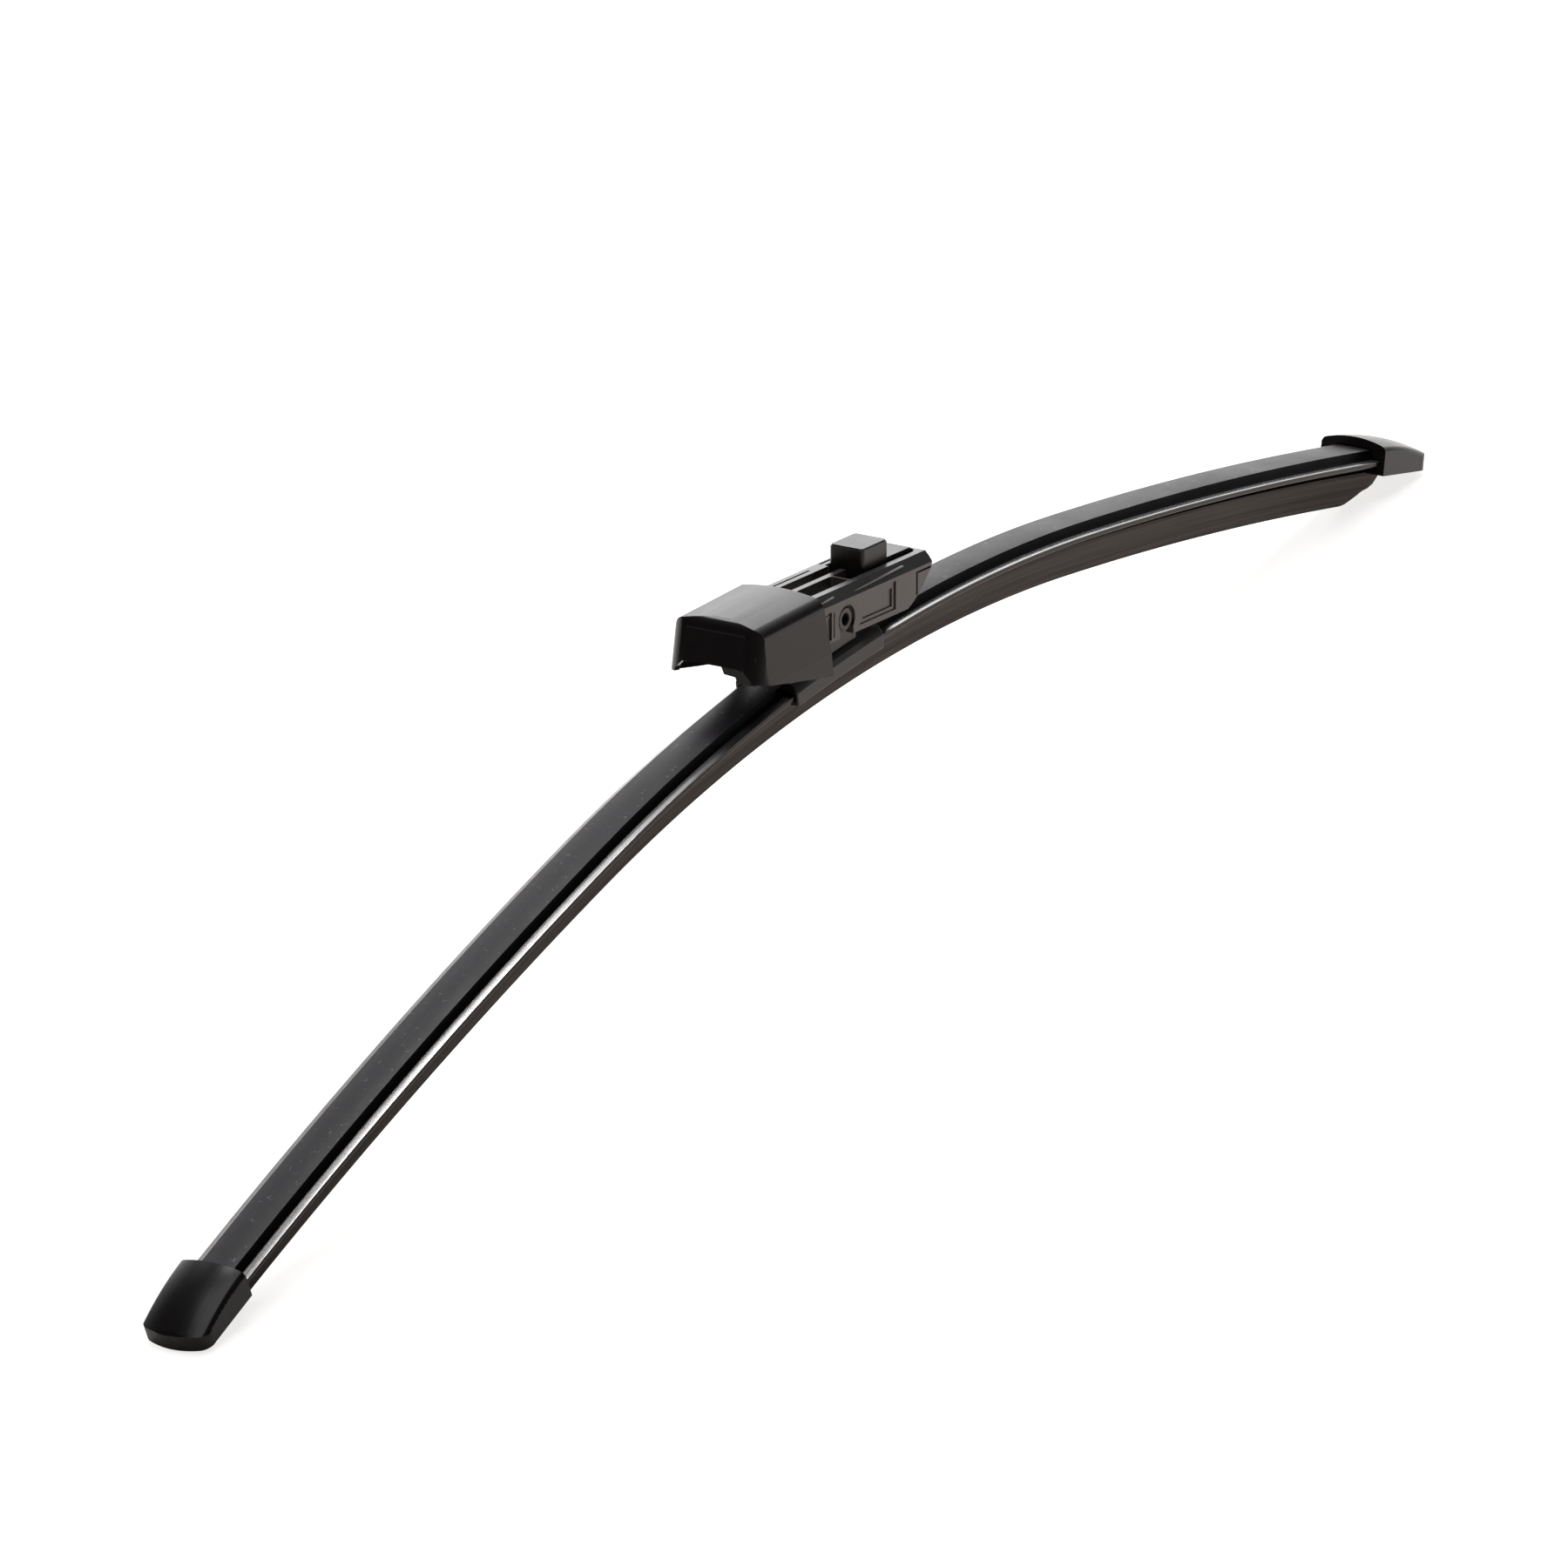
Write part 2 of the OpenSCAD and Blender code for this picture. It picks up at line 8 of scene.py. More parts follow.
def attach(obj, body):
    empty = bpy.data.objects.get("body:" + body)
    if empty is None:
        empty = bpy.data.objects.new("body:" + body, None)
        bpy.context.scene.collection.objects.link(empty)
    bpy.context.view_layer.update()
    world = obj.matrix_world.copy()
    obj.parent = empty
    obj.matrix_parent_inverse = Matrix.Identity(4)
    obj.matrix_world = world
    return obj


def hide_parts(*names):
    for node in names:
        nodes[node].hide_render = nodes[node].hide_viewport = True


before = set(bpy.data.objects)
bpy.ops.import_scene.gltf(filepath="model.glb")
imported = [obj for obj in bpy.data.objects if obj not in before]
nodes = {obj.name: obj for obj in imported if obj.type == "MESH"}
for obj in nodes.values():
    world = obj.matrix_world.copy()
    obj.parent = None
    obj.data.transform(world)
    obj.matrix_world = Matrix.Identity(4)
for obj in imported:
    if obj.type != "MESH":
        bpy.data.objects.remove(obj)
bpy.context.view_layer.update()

# The blade's arcs, in millimetres
MM = 0.001
BOW_R = 444.5
BOW_HALF = 86.4
ARM_R = 1248.0
NEAR_LEN = 248.2
FAR_LEN = 212.0
BOW_A = BOW_HALF / BOW_R
SHIFT = ARM_R - BOW_R
# The turn that stands the blade on its caps, then its middle and its lowest point
TILT = math.radians(1.4080481816602215)
MID_X = -18.341802882263394
FLOOR_Z = -48.5288600100655
# The connector's pivot along the blade
PIVOT_S = -5.0


def place(s, n, y):
    """A point of the blade: station along the flat top, height above it, distance across."""
    if abs(s) <= BOW_HALF:
        a = s / BOW_R
        x = (BOW_R + n) * math.sin(a)
        z = (BOW_R + n) * math.cos(a) - BOW_R
    else:
        sign = 1 if s > 0 else -1
        a = sign * (BOW_A + (abs(s) - BOW_HALF) / ARM_R)
        x = -sign * SHIFT * math.sin(BOW_A) + (ARM_R + n) * math.sin(a)
        z = -BOW_R - SHIFT * math.cos(BOW_A) + (ARM_R + n) * math.cos(a)
    level_x = x * math.cos(TILT) + z * math.sin(TILT) - MID_X
    level_z = z * math.cos(TILT) - x * math.sin(TILT) - FLOOR_Z
    return Vector((level_x * MM, y * MM, level_z * MM))


# Shader helpers
def material(name, base, rough, spec=0.5, metallic=0.0):
    look = bpy.data.materials.new(name)
    look.use_nodes = True
    tree = look.node_tree
    bsdf = tree.nodes["Principled BSDF"]
    bsdf.inputs["Base Color"].default_value = (*base, 1)
    bsdf.inputs["Roughness"].default_value = rough
    bsdf.inputs["Specular IOR Level"].default_value = spec
    bsdf.inputs["Metallic"].default_value = metallic
    return look, tree, bsdf


def texture_space(tree, output, scale):
    source = tree.nodes.new("ShaderNodeTexCoord")
    mapping = tree.nodes.new("ShaderNodeMapping")
    mapping.inputs["Scale"].default_value = scale
    tree.links.new(source.outputs[output], mapping.inputs["Vector"])
    return mapping.outputs["Vector"]


def coords(tree):
    """Texture space of a whole piece, in metres."""
    return texture_space(tree, "Object", (1, 1, 1))


def along(tree, scale):
    """Texture space of a strip: distance along it and round its outline, in metres."""
    return texture_space(tree, "UV", scale)


def noise(tree, vector, scale, detail=4.0, rough=0.55):
    texture = tree.nodes.new("ShaderNodeTexNoise")
    texture.inputs["Scale"].default_value = scale
    texture.inputs["Detail"].default_value = detail
    texture.inputs["Roughness"].default_value = rough
    tree.links.new(vector, texture.inputs["Vector"])
    return texture.outputs["Fac"]


def ramp(tree, factor, stops):
    """Colours between stops, each a position and a colour."""
    node = tree.nodes.new("ShaderNodeValToRGB")
    elements = node.color_ramp.elements
    while len(elements) < len(stops):
        elements.new(0.5)
    for element, (position, colour) in zip(elements, stops):
        element.position = position
        element.color = (*colour, 1)
    tree.links.new(factor, node.inputs["Fac"])
    return node.outputs["Color"]


def grey(value):
    return (value, value, value)


def grey_ramp(tree, factor, stops):
    return ramp(tree, factor, [(position, grey(value)) for position, value in stops])


def facing_up(tree, low, high):
    """0 on sides and 1 on faces that look up, for colours given to tops and sides, painted shade
    and light among them.
    """
    geometry = tree.nodes.new("ShaderNodeNewGeometry")
    split = tree.nodes.new("ShaderNodeSeparateXYZ")
    tree.links.new(geometry.outputs["Normal"], split.inputs[0])
    spread = tree.nodes.new("ShaderNodeMapRange")
    spread.interpolation_type = "SMOOTHSTEP"
    spread.inputs["From Min"].default_value = low
    spread.inputs["From Max"].default_value = high
    tree.links.new(split.outputs["Z"], spread.inputs["Value"])
    return spread.outputs["Result"]


def mixed(tree, factor, first, second):
    """The first colour blended into the second; each is a socket or a plain colour."""
    mix = tree.nodes.new("ShaderNodeMix")
    mix.data_type = "RGBA"
    for key, value in (("A", first), ("B", second)):
        if isinstance(value, tuple):
            mix.inputs[key].default_value = (*value, 1)
        else:
            tree.links.new(value, mix.inputs[key])
    tree.links.new(factor, mix.inputs["Factor"])
    return mix.outputs["Result"]


def bump(tree, bsdf, height, strength, distance, after=None):
    node = tree.nodes.new("ShaderNodeBump")
    node.inputs["Strength"].default_value = strength
    node.inputs["Distance"].default_value = distance
    tree.links.new(height, node.inputs["Height"])
    if after is not None:
        tree.links.new(after, node.inputs["Normal"])
    tree.links.new(node.outputs["Normal"], bsdf.inputs["Normal"])
    return node.outputs["Normal"]


def dot_with(tree, vector, direction):
    node = tree.nodes.new("ShaderNodeVectorMath")
    node.operation = "DOT_PRODUCT"
    node.inputs[1].default_value = direction
    tree.links.new(vector, node.inputs[0])
    return node.outputs["Value"]


# Materials, with texture scales in features a metre and depths in metres
CLOUD_SCALE = 38
PATCH_SCALE = 95
MOULD_SCALE = 900.0
BLOOM_SCALE = 26
SKIN_SCALE = 1400
ROLLED_SCALE = 160
DUST_SCALE = 55
SPECK_SCALE = 620
RIVET_SCALE = 900
MOULD_DEPTH = 0.00006
DRAWN_DEPTH = 0.00008
SKIN_DEPTH = 0.00003
SCRATCH_DEPTH = 0.00004
# Lines along the strips: few features along and many across
DRAWN_LINES = (6, 500, 1)
ROLLED_LINES = (4, 900, 1)
SCRATCH_LINES = (5, 260, 1)
# Colour of faces that look straight up, lighter than the black plastic
TOP_GREY = (0.03, 0.028, 0.028)


def moulded(name, base, rough, grain, spec, cell=MOULD_SCALE, top_tone=TOP_GREY, painted_side_light=None):
    """Black moulded plastic: fine spark-eroded grain, faint handling marks and uneven gloss."""
    look, tree, bsdf = material(name, base, rough, spec)
    space = coords(tree)
    dark = tuple(c * 0.85 for c in base)
    light = tuple(c * 1.17 for c in base)
    clean = ramp(tree, noise(tree, space, CLOUD_SCALE, 5), [(0.3, dark), (0.7, light)])
    # faces that look sideways may take a lighter colour: painted light
    if painted_side_light is not None:
        clean = mixed(tree, facing_up(tree, 0.2, 0.45), painted_side_light, clean)
    # faces that look straight up take the top tone: darker on the bracket, painted shade; lighter
    # on the other parts
    coloured = mixed(tree, facing_up(tree, 0.9, 0.985), clean, top_tone)
    tree.links.new(coloured, bsdf.inputs["Base Color"])
    patch = noise(tree, space, PATCH_SCALE, 6, 0.7)
    gloss = grey_ramp(tree, patch, [(0.25, rough * 0.85), (0.75, min(1, rough * 1.2))])
    tree.links.new(gloss, bsdf.inputs["Roughness"])
    bump(tree, bsdf, noise(tree, space, cell, 3, 0.6), grain, MOULD_DEPTH)
    return look


def rubber_material():
    """Extruded rubber: brown-black, faint lengthwise drawing lines and a bloom in patches."""
    look, tree, bsdf = material("squeegee_rubber_look", (0.04, 0.034, 0.031), 0.55, 0.24)
    space = coords(tree)
    lines = noise(tree, along(tree, DRAWN_LINES), 3.2, 3)
    bloom = noise(tree, space, BLOOM_SCALE, 6, 0.65)
    brown = ramp(tree, bloom, [
        (0.3, (0.02, 0.014, 0.009)),
        (0.55, (0.03, 0.021, 0.014)),
        (0.8, (0.045, 0.033, 0.023)),
    ])
    tree.links.new(brown, bsdf.inputs["Base Color"])
    tree.links.new(grey_ramp(tree, lines, [(0.3, 0.45), (0.7, 0.66)]), bsdf.inputs["Roughness"])
    drawn = bump(tree, bsdf, lines, 0.25, DRAWN_DEPTH)
    bump(tree, bsdf, noise(tree, space, SKIN_SCALE, 2), 0.15, SKIN_DEPTH, drawn)
    return look


def steel_material():
    """Thinly lacquered spring steel, bright on top, with rolling lines; its edges painted dark as
    shade.
    """
    look, tree, bsdf = material("spring_steel_look", (0.4, 0.39, 0.39), 0.2, 0.5, 0.9)
    lines = noise(tree, along(tree, ROLLED_LINES), 3.0, 4)
    spots = noise(tree, coords(tree), ROLLED_SCALE, 5, 0.7)
    bright = ramp(tree, spots, [
        (0.28, (0.3, 0.29, 0.285)),
        (0.5, (0.38, 0.37, 0.365)),
        (0.8, (0.43, 0.42, 0.41)),
    ])
    # the edges, which face sideways, are painted near black: painted shade
    edge = (0.03, 0.027, 0.025)
    tree.links.new(mixed(tree, facing_up(tree, 0.12, 0.5), edge, bright), bsdf.inputs["Base Color"])
    tree.links.new(grey_ramp(tree, lines, [(0.3, 0.16), (0.7, 0.28)]), bsdf.inputs["Roughness"])
    bump(tree, bsdf, lines, 0.04, SCRATCH_DEPTH)
    return look


def cover_material():
    """Satin black strip, dust and specks on top, hairline scratches along it, flanks painted black
    as shade.
    """
    look, tree, bsdf = material("cover_black_look", (0.05, 0.045, 0.052), 0.42, 0.36)
    space = coords(tree)
    top_tone = noise(tree, space, DUST_SCALE, 8, 0.75)
    specks = noise(tree, space, SPECK_SCALE, 3, 0.7)
    scratch = noise(tree, along(tree, SCRATCH_LINES), 6.0, 6, 0.7)
    base = ramp(tree, top_tone, [
        (0.3, (0.023, 0.02, 0.024)),
        (0.55, (0.033, 0.029, 0.034)),
        (0.8, (0.056, 0.051, 0.058)),
    ])
    spot = grey_ramp(tree, specks, [(0.62, 0), (0.74, 1)])
    line = grey_ramp(tree, scratch, [(0.62, 0), (0.72, 1)])
    spotted = mixed(tree, spot, base, (0.17, 0.16, 0.17))
    coloured = mixed(tree, line, spotted, (0.12, 0.115, 0.12))
    # sideways faces are painted near black with little specular: painted shade
    top = facing_up(tree, 0.72, 0.9)
    flank_shade = (0.004, 0.0035, 0.004)
    tree.links.new(mixed(tree, top, flank_shade, coloured), bsdf.inputs["Base Color"])
    tree.links.new(mixed(tree, top, grey(0.03), grey(0.2)), bsdf.inputs["Specular IOR Level"])
    tree.links.new(grey_ramp(tree, top_tone, [(0.25, 0.34), (0.75, 0.52)]), bsdf.inputs["Roughness"])
    scratched = bump(tree, bsdf, scratch, 0.2, SCRATCH_DEPTH)
    bump(tree, bsdf, specks, 0.2, SCRATCH_DEPTH, scratched)
    return look


def rivet_material():
    """Dark turned metal, finely spotted."""
    look, tree, bsdf = material("rivet_dark_look", (0.08, 0.07, 0.066), 0.42, 0.5, 0.6)
    spots = noise(tree, coords(tree), RIVET_SCALE, 4)
    spotted = ramp(tree, spots, [(0.3, (0.05, 0.045, 0.043)), (0.7, (0.1, 0.09, 0.086))])
    tree.links.new(spotted, bsdf.inputs["Base Color"])
    bump(tree, bsdf, spots, 0.2, SCRATCH_DEPTH)
    return look


looks = {
    "squeegee": rubber_material(),
    "steel": steel_material(),
    "cover": cover_material(),
    # the bracket's faces that look straight up are painted darker: painted shade
    "bracket": moulded(
        "bracket_black_look", (0.009, 0.008, 0.007), 0.34, 0.12, 0.5, top_tone=(0.006, 0.006, 0.006)),
    "rivet": rivet_material(),
    # the adapter's sides are painted lighter: painted light
    "adapter": moulded(
        "connector_black_look", (0.012, 0.01, 0.009), 0.28, 0.06, 0.65, top_tone=(0.05, 0.048, 0.048),
        painted_side_light=(0.075, 0.058, 0.05)),
    "button": moulded(
        "button_black_look", (0.012, 0.01, 0.009), 0.3, 0.14, 0.45, top_tone=(0.05, 0.048, 0.048)),
    "shroud": moulded(
        "shroud_black_look", (0.01, 0.008, 0.0075), 0.24, 0.05, 0.32, cell=1300.0),
    "cap": moulded(
        "cap_black_look", (0.01, 0.0085, 0.008), 0.24, 0.06, 0.32, cell=1100.0,
        top_tone=(0.014, 0.013, 0.013)),
}


def dress(obj, look, body, slot_name, *replaced):
    obj.data.materials.clear()
    obj.data.materials.append(looks[look])
    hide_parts(*replaced)
    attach(obj, body)


# Swept strips
STATION_STEP = 1.6
# A rounded corner takes at most this share of the sides beside it
CORNER_SHARE = 0.4
STRIP_SHARP = math.radians(38)


def rounded(points, radius, segments=2):
    """The outline with every corner replaced by a short arc."""
    out = []
    count = len(points)
    for i in range(count):
        corner = Vector(points[i])
        before = Vector(points[i - 1]) - corner
        after = Vector(points[(i + 1) % count]) - corner
        reach = min(radius, before.length * CORNER_SHARE, after.length * CORNER_SHARE)
        start = corner + before.normalized() * reach
        end = corner + after.normalized() * reach
        for k in range(segments + 1):
            t = k / segments
            out.append(tuple((1 - t) ** 2 * start + 2 * t * (1 - t) * corner + t ** 2 * end))
    return out


def strip_stations(s0, s1):
    """Even stations from one end to the other, and those where the arcs meet."""
    stations = {s0, s1}
    for edge in (-BOW_HALF, BOW_HALF):
        if s0 < edge < s1:
            stations.add(edge)
    count = math.ceil((s1 - s0) / STATION_STEP)
    stations.update(s0 + (s1 - s0) * i / count for i in range(count + 1))
    return sorted(stations)


def strip(name, section, s0, s1, limit=None):
    """Sweeps an outline of (height above the flat top, distance across) between two stations."""
    bm = bmesh.new()
    uv = bm.loops.layers.uv.new("along")
    girth = [0.0]
    for p, q in zip(section, section[1:] + section[:1]):
        girth.append(girth[-1] + math.dist(p, q))
    rings = []
    order = strip_stations(s0, s1)
    for s in order:
        ring = []
        for n, y in section:
            if limit is not None:
                n, y = limit(s, n, y)
            ring.append(bm.verts.new(place(s, n, y)))
        rings.append(ring)
    count = len(section)
    for k in range(len(rings) - 1):
        here, ahead = rings[k], rings[k + 1]
        for i in range(count):
            j = (i + 1) % count
            face = bm.faces.new((here[i], here[j], ahead[j], ahead[i]))
            places = (
                (order[k], girth[i]),
                (order[k], girth[i + 1]),
                (order[k + 1], girth[i + 1]),
                (order[k + 1], girth[i]),
            )
            for loop, (u, v) in zip(face.loops, places):
                loop[uv].uv = (u * MM, v * MM)
    bm.faces.new(rings[0][::-1])
    bm.faces.new(rings[-1])
    bmesh.ops.recalc_face_normals(bm, faces=bm.faces)
    return linked(name, bm, STRIP_SHARP)


def linked(name, bm, sharp):
    """An object in the scene, smooth but for the edges that are sharper than an angle."""
    for face in bm.faces:
        face.smooth = True
    mesh = bpy.data.meshes.new(name)
    bm.to_mesh(mesh)
    bm.free()
    mesh.set_sharp_from_angle(angle=sharp)
    obj = bpy.data.objects.new(name, mesh)
    bpy.context.scene.collection.objects.link(obj)
    return obj


def both_sides(half):
    return half + [(n, -y) for n, y in reversed(half)]


# Outlines as (height above the flat top, distance across)
RUBBER_OUTER = [(-4.9, 2.35), (-5.6, 2.35), (-8.6, 0.95), (-11.7, 0.45)]
RUBBER = both_sides([
    (-0.8, 2.5), (-1.5, 2.5), (-1.5, 1.0), (-2.95, 1.0), (-2.95, 3.2), (-4.2, 3.05), (-4.2, 0.7),
    (-4.9, 0.7)] + RUBBER_OUTER)
COVER = both_sides([
    (0, 3.9), (-0.75, 4.0), (-1.4, 4.26), (-1.9, 4.73), (-1.9, 1.1), (-1.55, 1.1), (-1.55, 2.6),
    (-0.75, 2.6)])
RAIL = [(-1.9, 1.05), (-1.9, 6.6), (-2.9, 6.6), (-2.9, 1.05)]
RUBBER_ROUND = 0.14
COVER_ROUND = 0.16
RAIL_ROUND = 0.22

# How far the strips stop short of the blade's ends and of the pivot
RUBBER_INSET = 11.3
RAIL_INSET = 4
COVER_INSET = 10.5
COVER_NEAR_GAP = 18.25
COVER_FAR_GAP = 13.35

# The rounded cut at each end of the lip
LIP_CUT_END = 21.8
LIP_CUT_TOP = -8.0
LIP_CUT_R = 60.0
LIP_EDGE, LIP_HALF = RUBBER_OUTER[-1]
# What the cut takes off is pressed into this share of its height
LIP_PRESS = 0.002
SLACK = 1e-9


def lip_floor(x):
    """Lowest height of the rubber at a distance x from the end of the blade."""
    if x >= LIP_CUT_END:
        return LIP_EDGE
    dx, dz = LIP_CUT_END - RUBBER_INSET, LIP_CUT_TOP - LIP_EDGE
    chord = math.hypot(dx, dz)
    rise = math.sqrt(LIP_CUT_R * LIP_CUT_R - chord * chord / 4)
    centre_x = RUBBER_INSET + dx / 2 + rise * dz / chord
    centre_z = LIP_CUT_TOP - dz / 2 + rise * dx / chord
    return centre_z - math.sqrt(max(0, LIP_CUT_R * LIP_CUT_R - (x - centre_x) ** 2))


def lip_limit(s, n, y):
    """A point of the rubber's outline, kept above the cut at the ends of the lip."""
    low = lip_floor(min(FAR_LEN - s, s + NEAR_LEN))
    if n >= low - SLACK:
        return n, y
    width = LIP_HALF
    for (n0, y0), (n1, y1) in zip(RUBBER_OUTER, RUBBER_OUTER[1:]):
        if n1 <= low <= n0:
            width = y0 + (y1 - y0) * (n0 - low) / (n0 - n1)
    return low + LIP_PRESS * (n - low), max(-width, min(width, y))


dress(
    strip("squeegee_look", rounded(RUBBER, RUBBER_ROUND), -NEAR_LEN + RUBBER_INSET,
          FAR_LEN - RUBBER_INSET, lip_limit),
    "squeegee", "blade", "squeegee_rubber", "squeegee")
for hand, sign in (("right", -1), ("left", 1)):
    outline = rounded([(n, sign * y) for n, y in RAIL], RAIL_ROUND, 3)
    dress(
        strip("rail_%s_look" % hand, outline, -NEAR_LEN + RAIL_INSET, FAR_LEN - RAIL_INSET),
        "steel", "blade", "spring_steel", "rail_" + hand)
dress(
    strip("cover_near_look", rounded(COVER, COVER_ROUND), -NEAR_LEN + COVER_INSET,
          PIVOT_S - COVER_NEAR_GAP),
    "cover", "blade", "cover_black", "cover_near")
dress(
    strip("cover_far_look", rounded(COVER, COVER_ROUND), PIVOT_S + COVER_FAR_GAP,
          FAR_LEN - COVER_INSET),
    "cover", "blade", "cover_black", "cover_far")

# Rigid pieces with eased edges
EASED_SHARP = math.radians(28)
FLAT = math.radians(0.05)
WELD = 2e-6


def eased(node, look, body, slot_name, width, segments=2):
    """A copy of the CAD node with its hard edges broken, as moulded and pressed parts have them."""
    bm = bmesh.new()
    bm.from_mesh(nodes[node].data)
    bmesh.ops.remove_doubles(bm, verts=bm.verts, dist=WELD)
    bmesh.ops.dissolve_limit(bm, angle_limit=FLAT, verts=bm.verts, edges=bm.edges)
    obj = linked(node + "_look", bm, EASED_SHARP)
    bevel = obj.modifiers.new("edges", "BEVEL")
    bevel.width = width * MM
    bevel.segments = segments
    bevel.limit_method = "ANGLE"
    bevel.angle_limit = EASED_SHARP
    bevel.use_clamp_overlap = True
    normals = obj.modifiers.new("normals", "WEIGHTED_NORMAL")
    normals.keep_sharp = True
    dress(obj, look, body, slot_name, node)


eased("adapter", "adapter", "connector", "connector_black", 0.12)
eased("release_button", "button", "button", "button_black", 0.25, 3)
eased("shroud", "shroud", "connector", "shroud_black", 0.45, 4)
eased("end_cap_near", "cap", "blade", "cap_black", 0.7, 4)
eased("end_cap_far", "cap", "blade", "cap_black", 0.7, 4)
eased("base_bracket", "bracket", "blade", "bracket_black", 0.2)
eased("pivot_pin", "rivet", "blade", "rivet_dark", 0.12)

# Camera, fitted to the photograph, from a point of the blade and in the adapter's own directions
ADAPTER_TURN = math.radians(8.763551224257721)
CAMERA_AZ = math.radians(-56.94)
CAMERA_EL = math.radians(17.015)
CAMERA_ROLL = math.radians(0.068)
CAMERA_STATION = 0.5
CAMERA_OFFSET = Vector((-6.1605, -3.9990, 2.2171))
SENSOR_WIDTH = 36
FOCAL_LENGTH = 896.6
CLIP_NEAR = 0.5
CLIP_FAR = 60


def from_adapter(v):
    """A direction of the adapter in the blade's own directions."""
    cos, sin = math.cos(ADAPTER_TURN), math.sin(ADAPTER_TURN)
    return Vector((v[0] * cos + v[2] * sin, v[1], -v[0] * sin + v[2] * cos))


sin_az, cos_az = math.sin(CAMERA_AZ), math.cos(CAMERA_AZ)
sin_el, cos_el = math.sin(CAMERA_EL), math.cos(CAMERA_EL)
level_right = Vector((cos_az, sin_az, 0))
level_up = Vector((-sin_az * sin_el, cos_az * sin_el, cos_el))
back = Vector((sin_az * cos_el, -cos_az * cos_el, sin_el))
right = level_right * math.cos(CAMERA_ROLL) + level_up * math.sin(CAMERA_ROLL)
up = level_up * math.cos(CAMERA_ROLL) - level_right * math.sin(CAMERA_ROLL)
turn = Matrix((from_adapter(right), from_adapter(up), from_adapter(back))).transposed().to_4x4()
camera_data = bpy.data.cameras.new("camera")
camera_data.sensor_width = SENSOR_WIDTH
camera_data.lens = FOCAL_LENGTH
camera_data.clip_start = CLIP_NEAR
camera_data.clip_end = CLIP_FAR
camera = bpy.data.objects.new("camera", camera_data)
bpy.context.scene.collection.objects.link(camera)
shift = Matrix.Translation(place(CAMERA_STATION, 0, 0) + from_adapter(CAMERA_OFFSET))
camera.matrix_world = shift @ turn
bpy.context.scene.camera = camera

# Floor
FLOOR_RADIUS = 12
FLOOR_HEIGHT = -0.0003
FLOOR_SIDES = 96
FLOOR_COLOUR = (0.86, 0.85, 0.84)
FLOOR_GLOW = (0.8, 0.785, 0.77)
# The way away from the camera, and how far the mirrored floor takes to brighten that way
BEHIND = (0.8, 0.6, 0)
BRIGHTENS_FROM = -0.25
BRIGHTENS_TO = 0.45

bpy.ops.mesh.primitive_circle_add(
    vertices=FLOOR_SIDES, radius=FLOOR_RADIUS, fill_type="NGON", location=(0, 0, FLOOR_HEIGHT))
floor = bpy.context.object
floor.name = "floor"
floor_look = bpy.data.materials.new("floor_look")
floor_look.use_nodes = True
tree = floor_look.node_tree
tree.nodes.clear()
output = tree.nodes.new("ShaderNodeOutputMaterial")
diffuse = tree.nodes.new("ShaderNodeBsdfDiffuse")
diffuse.inputs["Color"].default_value = (*FLOOR_COLOUR, 1)
emission = tree.nodes.new("ShaderNodeEmission")
light_path = tree.nodes.new("ShaderNodeLightPath")
# the sheet looks white to the camera, and to mirrors it brightens away from it
floor_space = tree.nodes.new("ShaderNodeTexCoord")
reach = tree.nodes.new("ShaderNodeMapRange")
reach.inputs["From Min"].default_value = BRIGHTENS_FROM
reach.inputs["From Max"].default_value = BRIGHTENS_TO
tree.links.new(dot_with(tree, floor_space.outputs["Object"], BEHIND), reach.inputs["Value"])
mirrored = ramp(tree, reach.outputs["Result"], [
    (0.07, (0.03, 0.022, 0.017)),
    (0.357, (0.32, 0.235, 0.2)),
    (0.643, (0.85, 0.78, 0.74)),
    (0.857, (1.0, 1.0, 1.0)),
])
seen = mixed(tree, light_path.outputs["Is Camera Ray"], grey(0.0), FLOOR_GLOW)
glow = mixed(tree, light_path.outputs["Is Glossy Ray"], seen, mirrored)
tree.links.new(glow, emission.inputs["Color"])
both = tree.nodes.new("ShaderNodeAddShader")
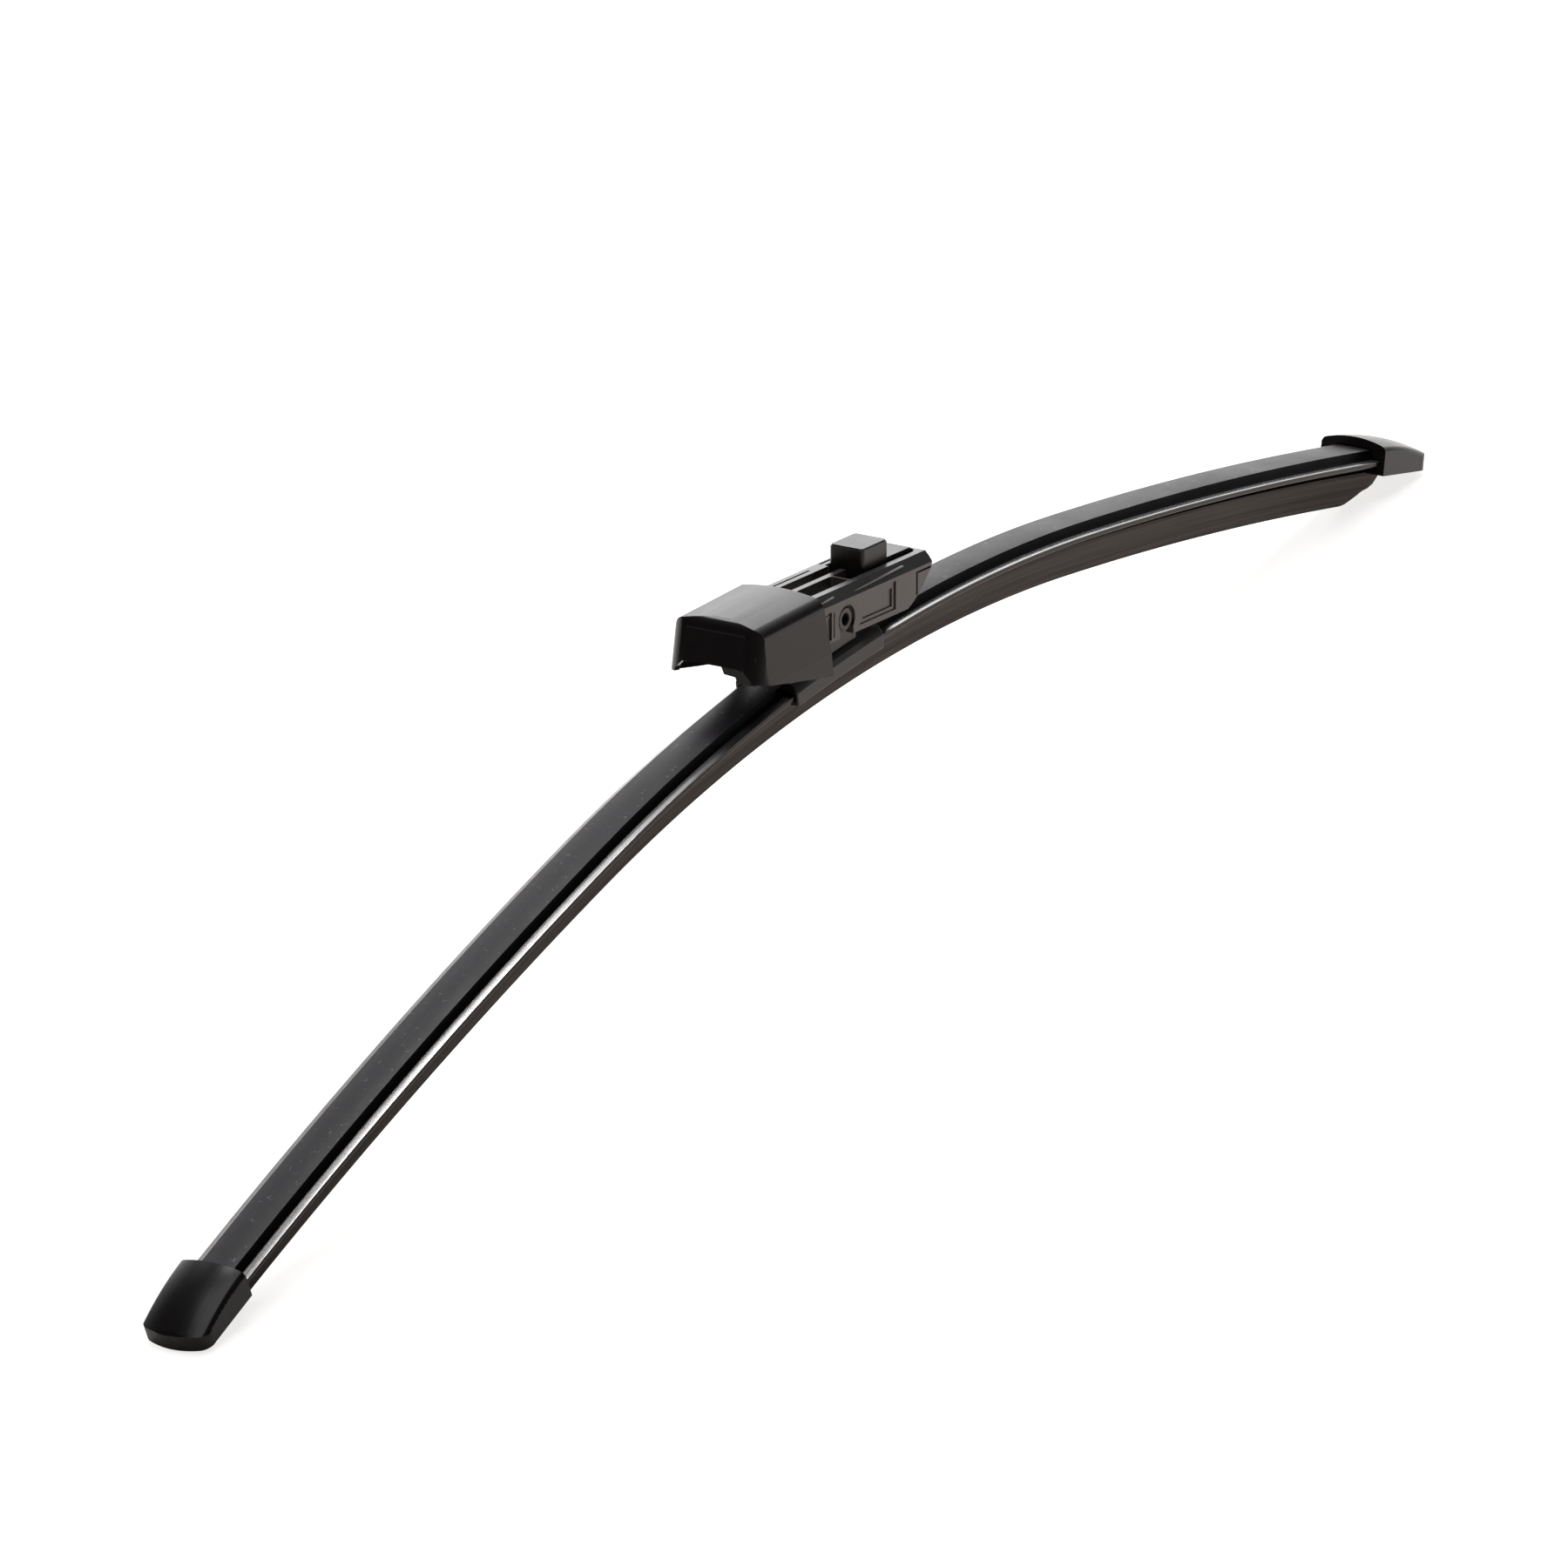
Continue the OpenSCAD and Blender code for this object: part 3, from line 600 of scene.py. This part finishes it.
tree.links.new(diffuse.outputs[0], both.inputs[0])
tree.links.new(emission.outputs[0], both.inputs[1])
tree.links.new(both.outputs[0], output.inputs["Surface"])
floor.data.materials.append(floor_look)

# Dark studio with a broad light backdrop behind the blade, brightest low down
DARK_STUDIO = (0.045, 0.045, 0.047)
world = bpy.data.worlds.new("studio")
bpy.context.scene.world = world
world.use_nodes = True
tree = world.node_tree
background = tree.nodes["Background"]
sky = tree.nodes.new("ShaderNodeTexCoord").outputs["Generated"]
split = tree.nodes.new("ShaderNodeSeparateXYZ")
tree.links.new(sky, split.inputs[0])
backdrop = grey_ramp(tree, dot_with(tree, sky, BEHIND), [(0.45, 0.0), (0.72, 1.0)])
level = grey_ramp(tree, split.outputs["Z"], [
    (0.0, 1.0), (0.3, 1.0), (0.5, 0.9), (0.6, 0.5), (0.68, 0.05), (0.86, 0.0)])
studio = tree.nodes.new("ShaderNodeVectorMath")
studio.operation = "MULTIPLY_ADD"
studio.inputs[2].default_value = DARK_STUDIO
tree.links.new(backdrop, studio.inputs[0])
tree.links.new(level, studio.inputs[1])
tree.links.new(studio.outputs["Vector"], background.inputs["Color"])
background.inputs["Strength"].default_value = 1.0

# Lamps
LAMP_TARGET = Vector((0, 0, 0.03))


def area(name, location, width, height, watts):
    lamp = bpy.data.lights.new(name, "AREA")
    lamp.shape = "RECTANGLE"
    lamp.size = width
    lamp.size_y = height
    lamp.energy = watts
    obj = bpy.data.objects.new(name, lamp)
    obj.location = location
    obj.rotation_euler = (Vector(location) - LAMP_TARGET).to_track_quat("Z", "Y").to_euler()
    bpy.context.scene.collection.objects.link(obj)


# A wide panel low behind the blade, a strip for the near rail, and two soft ones above
area("back_panel", (1.5, 1.05, 0.6), 2.4, 0.85, 11)
area("far_strip", (0.86, 1.03, 1.52), 0.85, 0.36, 1.1)
area("top_soft", (0.97, 0.64, 2.17), 0.6, 0.6, 17)
area("overhead", (-0.25, -0.15, 2.4), 1.6, 1.6, 15)

bpy.context.scene.view_settings.view_transform = "Standard"
